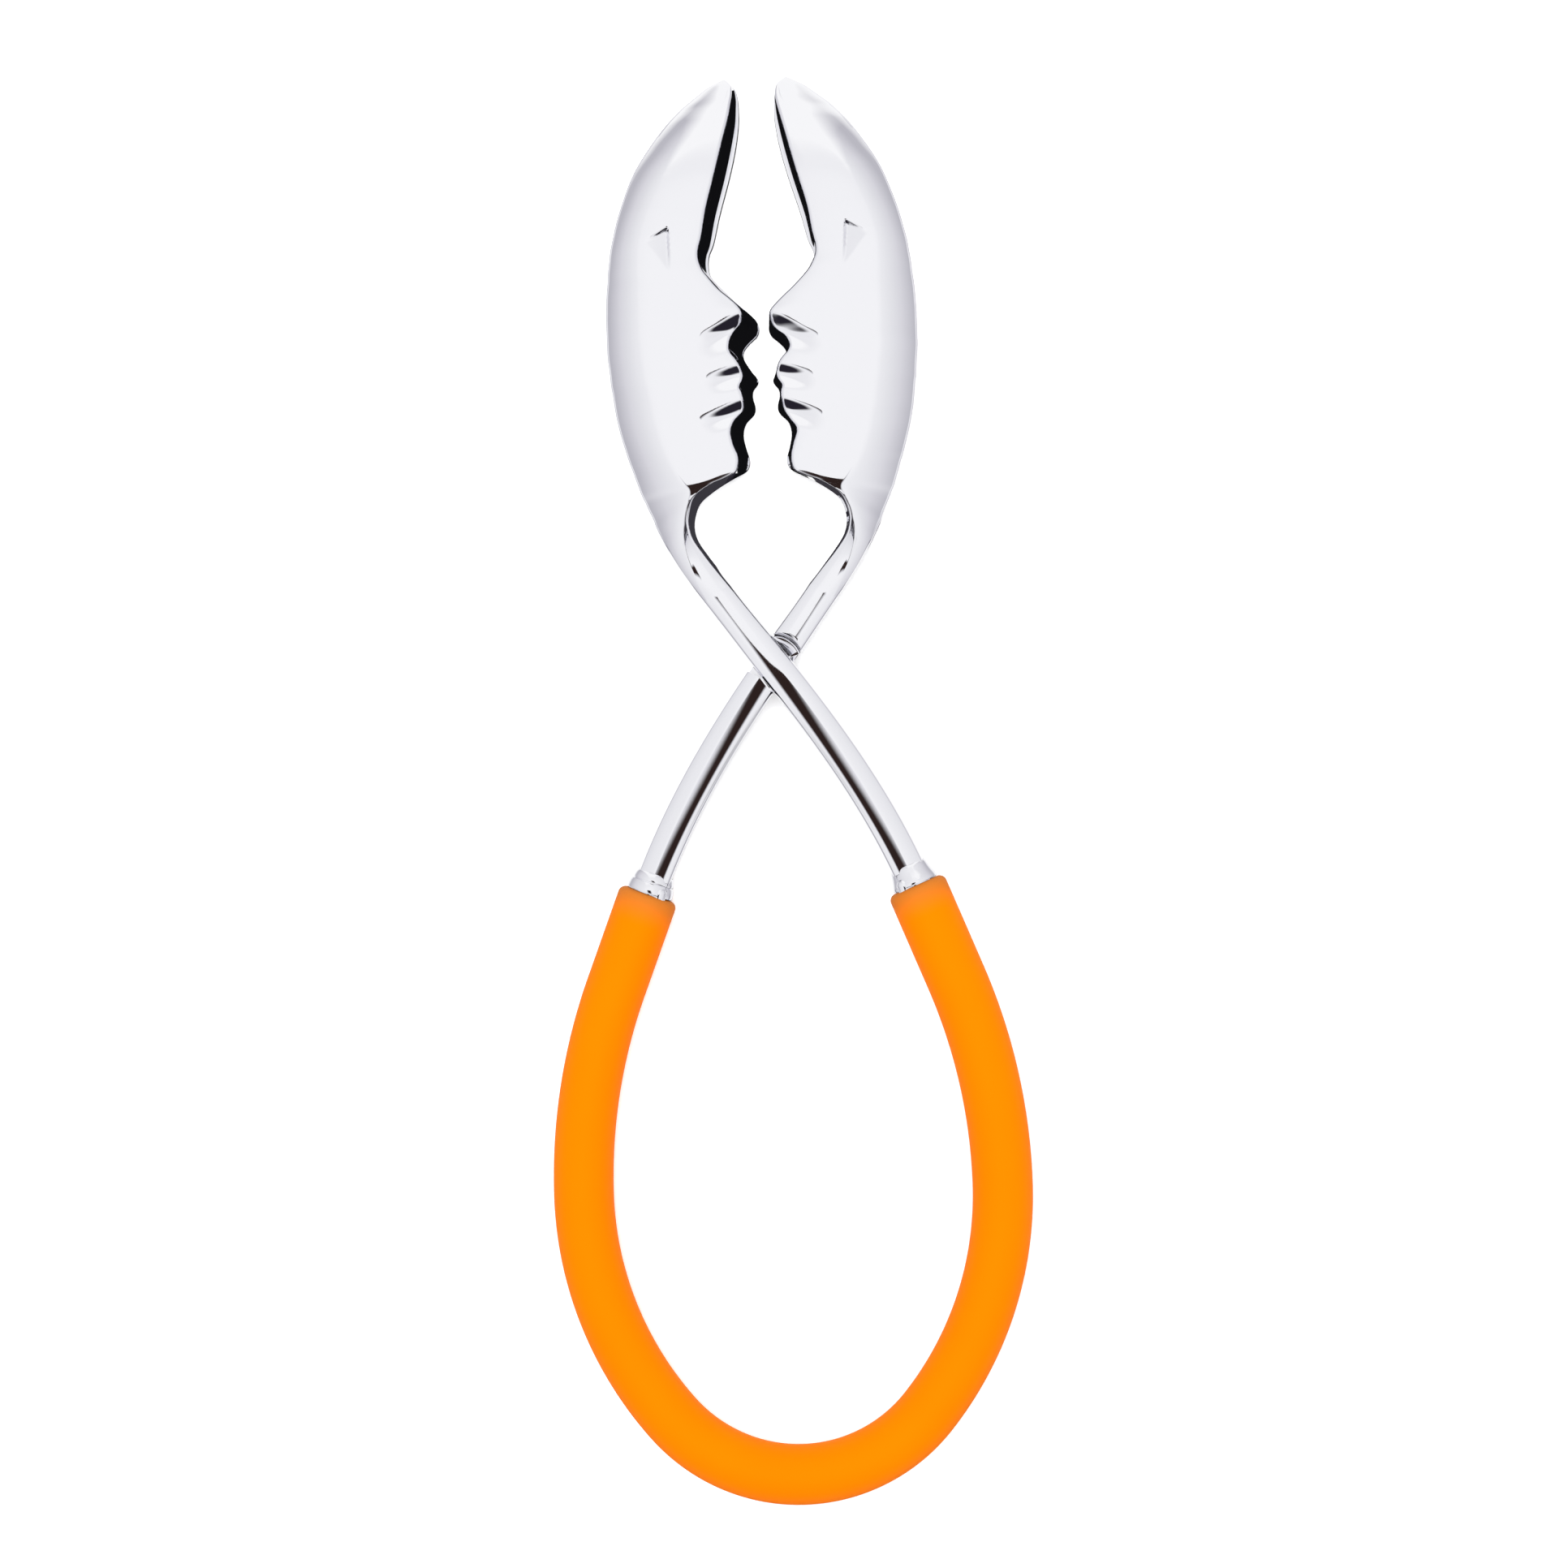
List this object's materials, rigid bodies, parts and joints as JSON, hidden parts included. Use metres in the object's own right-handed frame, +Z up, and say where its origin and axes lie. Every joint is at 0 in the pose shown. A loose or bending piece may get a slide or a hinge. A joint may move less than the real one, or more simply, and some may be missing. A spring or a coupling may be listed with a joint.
{
  "type": "lobster cracker",
  "caption": "Scissor-type shellfish cracker with crescent jaws cast as facing profile faces, crossed arms and a springy, soft-covered loop handle.",
  "frame": {"origin": "middle of the footprint of the closed cracker, on the surface that it lies on", "axes": "+Y towards the jaw tips along the length, +X across, +Z up out of the faces"},
  "size_m": [0.067, 0.2, 0.0115],
  "materials": {
    "chromed_casting": "bright chrome plate on a polished casting",
    "chromed_collar": "bright chrome plate",
    "pivot_steel": "plain turned steel",
    "spring_steel": "drawn spring wire",
    "orange_silicone": "satin moulded silicone"
  },
  "bodies": {
    "handle": {"handle_tube": "orange_silicone", "spring_core": "spring_steel"},
    "left_jaw_arm": {"left_jaw": "chromed_casting", "right_collar": "chromed_collar", "right_core_pin": "spring_steel", "pivot_screw": "pivot_steel", "pivot_washer": "pivot_steel"},
    "right_jaw_arm": {"right_jaw": "chromed_casting", "left_collar": "chromed_collar", "left_core_pin": "spring_steel"}
  },
  "joints": [
    {"name": "left_jaw_open", "type": "hinge", "parent": "handle", "child": "left_jaw_arm", "pos_m": [0, 0.0174, 0.0062], "axis": [0, 0, 1], "range_deg": [-0.7, 10], "stiffness_Nm_per_rad": 2, "deforming": ["handle_tube", "spring_core"]},
    {"name": "right_jaw_open", "type": "hinge", "parent": "handle", "child": "right_jaw_arm", "pos_m": [0, 0.0174, 0.0062], "axis": [0, 0, 1], "range_deg": [-10, 0.7], "stiffness_Nm_per_rad": 2, "deforming": ["handle_tube", "spring_core"]}
  ],
  "couplings": [
    {"joint": "right_jaw_open", "follows": "left_jaw_open", "ratio": -1}
  ]
}
